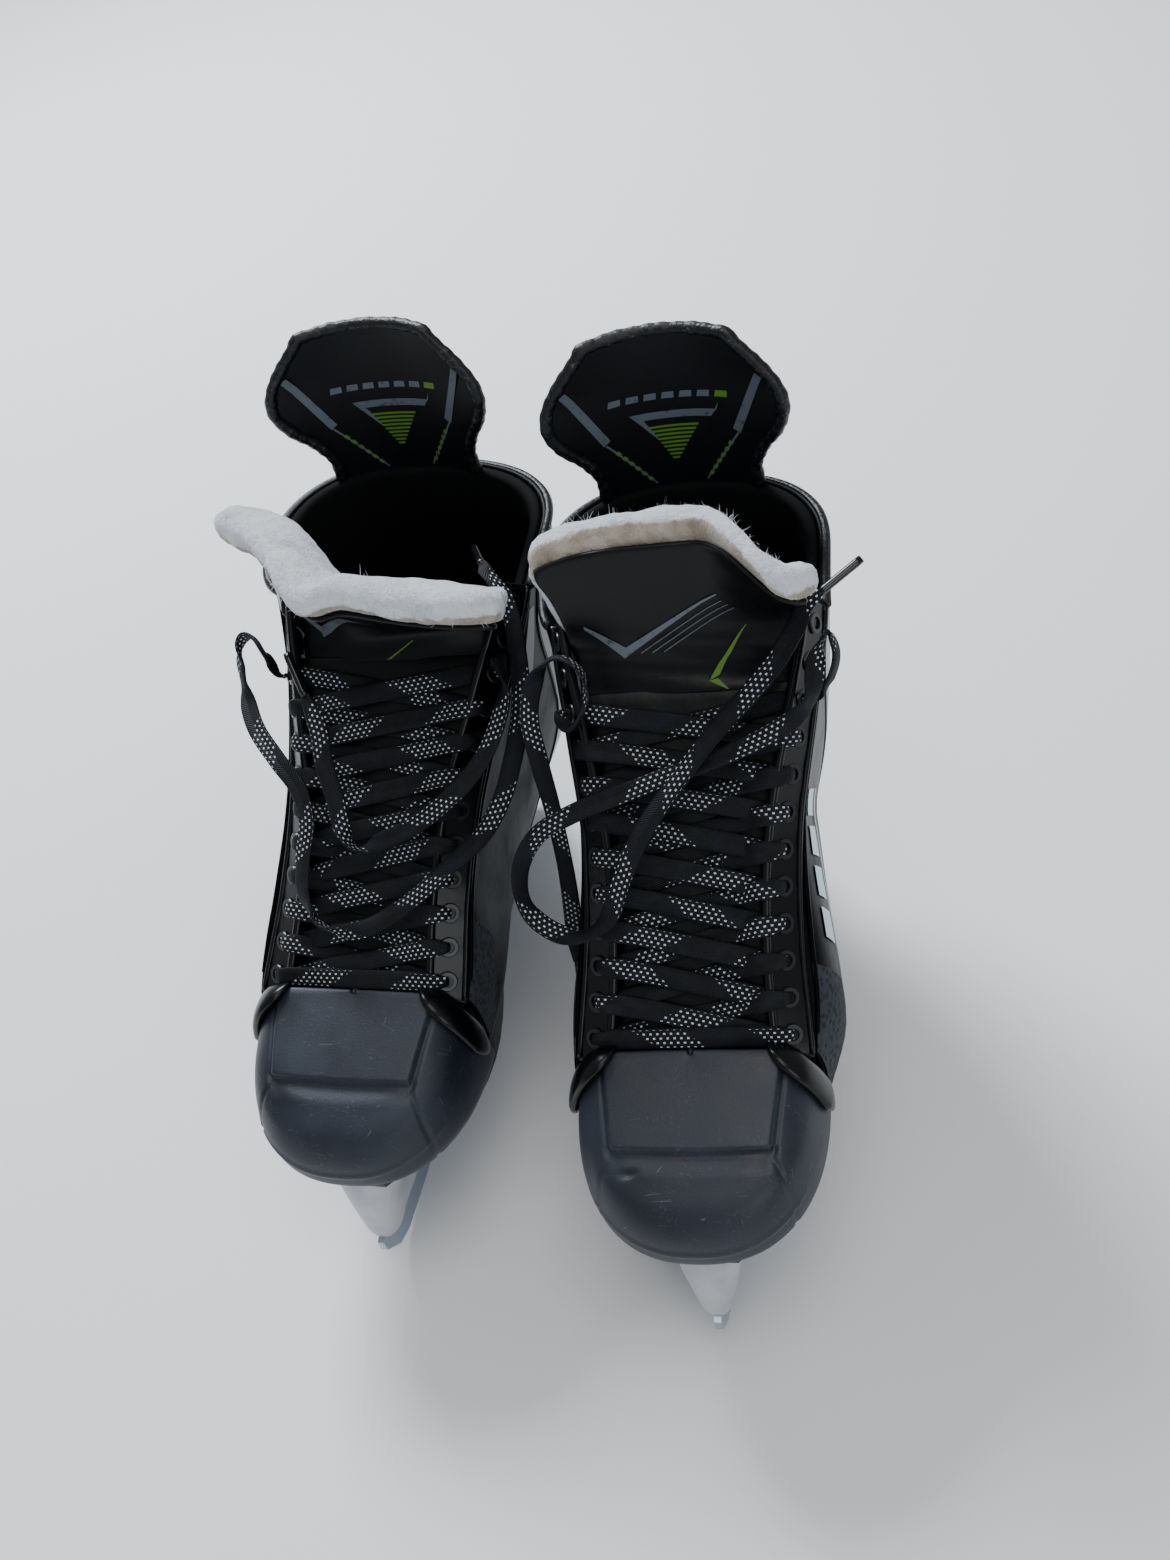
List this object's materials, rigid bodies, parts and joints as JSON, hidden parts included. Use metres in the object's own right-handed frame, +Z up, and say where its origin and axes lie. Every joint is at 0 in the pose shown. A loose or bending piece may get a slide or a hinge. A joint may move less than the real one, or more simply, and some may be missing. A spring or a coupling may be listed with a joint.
{
  "type": "pair of ice hockey skates",
  "caption": "Pair of lace-up ice hockey boots on steel runners, with hard toe caps, felt tongues that flop forward and tall flexing tendon guards",
  "frame": {"origin": "on the ice, under the middle of the pair's box", "axes": "+Z up, +Y from the toes to the heels, +X towards the left skate"},
  "size_m": [0.2735, 0.3232, 0.3128],
  "materials": {
    "toe_plastic": "scuffed satin",
    "boot_shell": "gloss coated",
    "gloss_stay": "gloss",
    "eyelet_metal": "black enamel",
    "liner": "brushed lining",
    "board": "pressed board",
    "footbed_foam": "foam with fabric top",
    "sole_plate": "moulded",
    "felt": "felt",
    "tongue_skin": "coated cloth",
    "guard_skin": "coated",
    "holder_plastic": "satin moulded",
    "steel": "ground",
    "fastener_steel": "plated",
    "rivet_metal": "copper plated",
    "lace_weave": "woven",
    "aglet_plastic": "clear black"
  },
  "bodies": {
    "left_skate": {"left_toe_cap": "toe_plastic", "left_quarter_shell": "boot_shell", "left_facings": "gloss_stay", "left_eyelets": "eyelet_metal", "left_ankle_liner": "liner", "left_insole_board": "board", "left_footbed": "footbed_foam", "left_outsole": "sole_plate", "left_tongue_felt": "felt", "left_tongue_face": "tongue_skin", "left_holder": "holder_plastic", "left_runner": "steel", "left_blade_bolts": "fastener_steel", "left_blade_nuts": "fastener_steel", "left_holder_rivets": "rivet_metal", "left_lace": "lace_weave", "left_lace_end_inner": "lace_weave", "left_lace_end_outer": "lace_weave", "left_aglet_inner": "aglet_plastic", "left_aglet_outer": "aglet_plastic"},
    "left_guard": {"left_tendon_guard": "guard_skin"},
    "left_tongue": {"left_tongue_top_felt": "felt", "left_tongue_top_face": "tongue_skin"},
    "right_skate": {"right_toe_cap": "toe_plastic", "right_quarter_shell": "boot_shell", "right_facings": "gloss_stay", "right_eyelets": "eyelet_metal", "right_ankle_liner": "liner", "right_insole_board": "board", "right_footbed": "footbed_foam", "right_outsole": "sole_plate", "right_tongue_felt": "felt", "right_tongue_face": "tongue_skin", "right_holder": "holder_plastic", "right_runner": "steel", "right_blade_bolts": "fastener_steel", "right_blade_nuts": "fastener_steel", "right_holder_rivets": "rivet_metal", "right_lace": "lace_weave", "right_lace_end_inner": "lace_weave", "right_lace_end_outer": "lace_weave", "right_aglet_inner": "aglet_plastic", "right_aglet_outer": "aglet_plastic"},
    "right_guard": {"right_tendon_guard": "guard_skin"},
    "right_tongue": {"right_tongue_top_felt": "felt", "right_tongue_top_face": "tongue_skin"}
  },
  "joints": [
    {"name": "left_guard_flex", "type": "hinge", "parent": "left_skate", "child": "left_guard", "pos_m": [0.0646, 0.11539, 0.239], "axis": [0.9991, 0.0419, 0], "range_deg": [-18, 5], "stiffness_Nm_per_rad": 1.2},
    {"name": "left_tongue_flop", "type": "hinge", "parent": "left_skate", "child": "left_tongue", "pos_m": [0.0688, 0.01504, 0.22689], "axis": [0.9991, 0.0419, 0], "range_deg": [-5, 20]},
    {"name": "right_guard_flex", "type": "hinge", "parent": "right_skate", "child": "right_guard", "pos_m": [-0.0646, 0.14239, 0.239], "axis": [0.9991, -0.0419, 0], "range_deg": [-18, 5], "stiffness_Nm_per_rad": 1.2},
    {"name": "right_tongue_flop", "type": "hinge", "parent": "right_skate", "child": "right_tongue", "pos_m": [-0.0688, 0.04204, 0.22689], "axis": [0.9991, -0.0419, 0], "range_deg": [-20, 18]},
    {"name": "right_skate_lift", "type": "slide", "parent": "left_skate", "child": "right_skate", "axis": [0, 0, 1], "range_m": [0, 0.35]}
  ]
}
